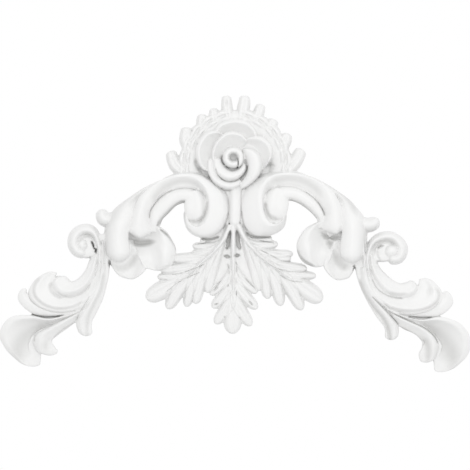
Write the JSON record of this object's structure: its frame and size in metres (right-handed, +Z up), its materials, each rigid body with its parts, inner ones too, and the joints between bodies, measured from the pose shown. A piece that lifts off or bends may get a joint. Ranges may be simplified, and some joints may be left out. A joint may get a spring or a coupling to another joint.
{
  "type": "ornamental applique",
  "caption": "White cast onlay: a rose in a laurel wreath between scrolled acanthus arms and tails, over drooping leaves, with a flat back.",
  "frame": {"origin": "on the flat back, behind the rose, midway across the width", "axes": "+X to the viewer's right along the width, +Y into the wall, so the carved front faces -Y, +Z up"},
  "size_m": [0.3001, 0.0218, 0.1763],
  "materials": {
    "cast_resin": "white satin cast resin, unpainted, with a slightly duller back"
  },
  "bodies": {
    "root": {"applique": "cast_resin"}
  },
  "joints": []
}
